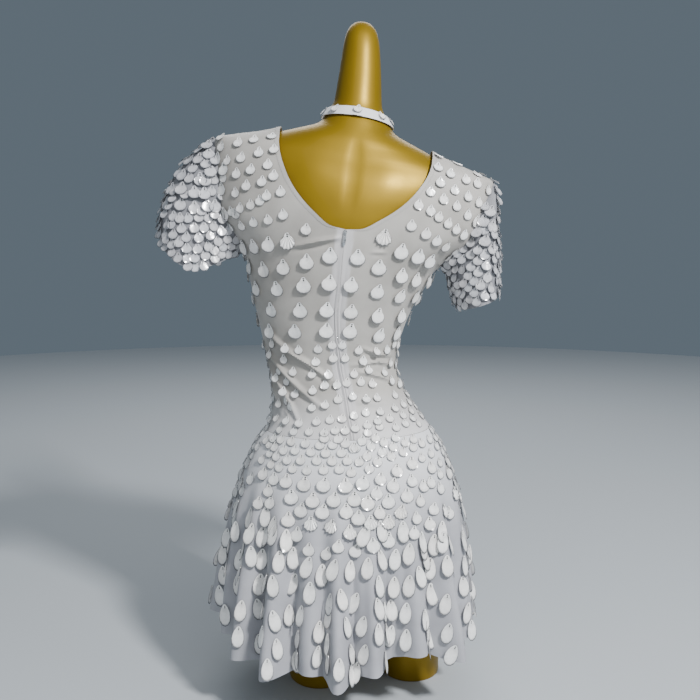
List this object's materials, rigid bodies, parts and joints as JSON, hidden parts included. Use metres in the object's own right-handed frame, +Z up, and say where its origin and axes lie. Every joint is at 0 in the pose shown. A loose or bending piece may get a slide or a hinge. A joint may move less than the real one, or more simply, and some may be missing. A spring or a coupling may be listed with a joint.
{
  "type": "paillette mini dress on a limbless torso dress form",
  "caption": "Fitted mini dress with scooped back, short sleeves, flared skirt and choker band, zipped at the back and worn by a limbless torso form.",
  "frame": {"origin": "on the floor under the middle of the whole part's box", "axes": "+Z up; the wearer faces +Y, so the zip faces -Y; +X is the wearer's right"},
  "size_m": [0.538, 0.4198, 1.073],
  "materials": {
    "gold_form": "gold-coloured chrome on fibreglass, mirror polish",
    "stretch_cloth": "matt stretch knit, off-white",
    "skirt_cloth": "matt stretch knit, cool white",
    "zip_tape": "woven polyester with nylon coil",
    "nickel": "nickel plated zinc"
  },
  "bodies": {
    "dress_on_form": {"dress_form": "gold_form", "bodice_back_left": "stretch_cloth", "bodice_back_right": "stretch_cloth", "bodice_front": "stretch_cloth", "sleeve_left": "stretch_cloth", "sleeve_right": "stretch_cloth", "skirt_back": "skirt_cloth", "skirt_front": "skirt_cloth", "choker_band": "stretch_cloth", "zip_coil": "zip_tape", "zip_slider": "nickel"},
    "zip_pull": {"zip_pull": "nickel"}
  },
  "joints": [
    {"name": "pull_hinge", "type": "hinge", "parent": "dress_on_form", "child": "zip_pull", "pos_m": [0.02591, -0.09091, 0.74549], "axis": [-0.9921, -0.0097, 0.1254], "range_deg": [0, 150]}
  ]
}
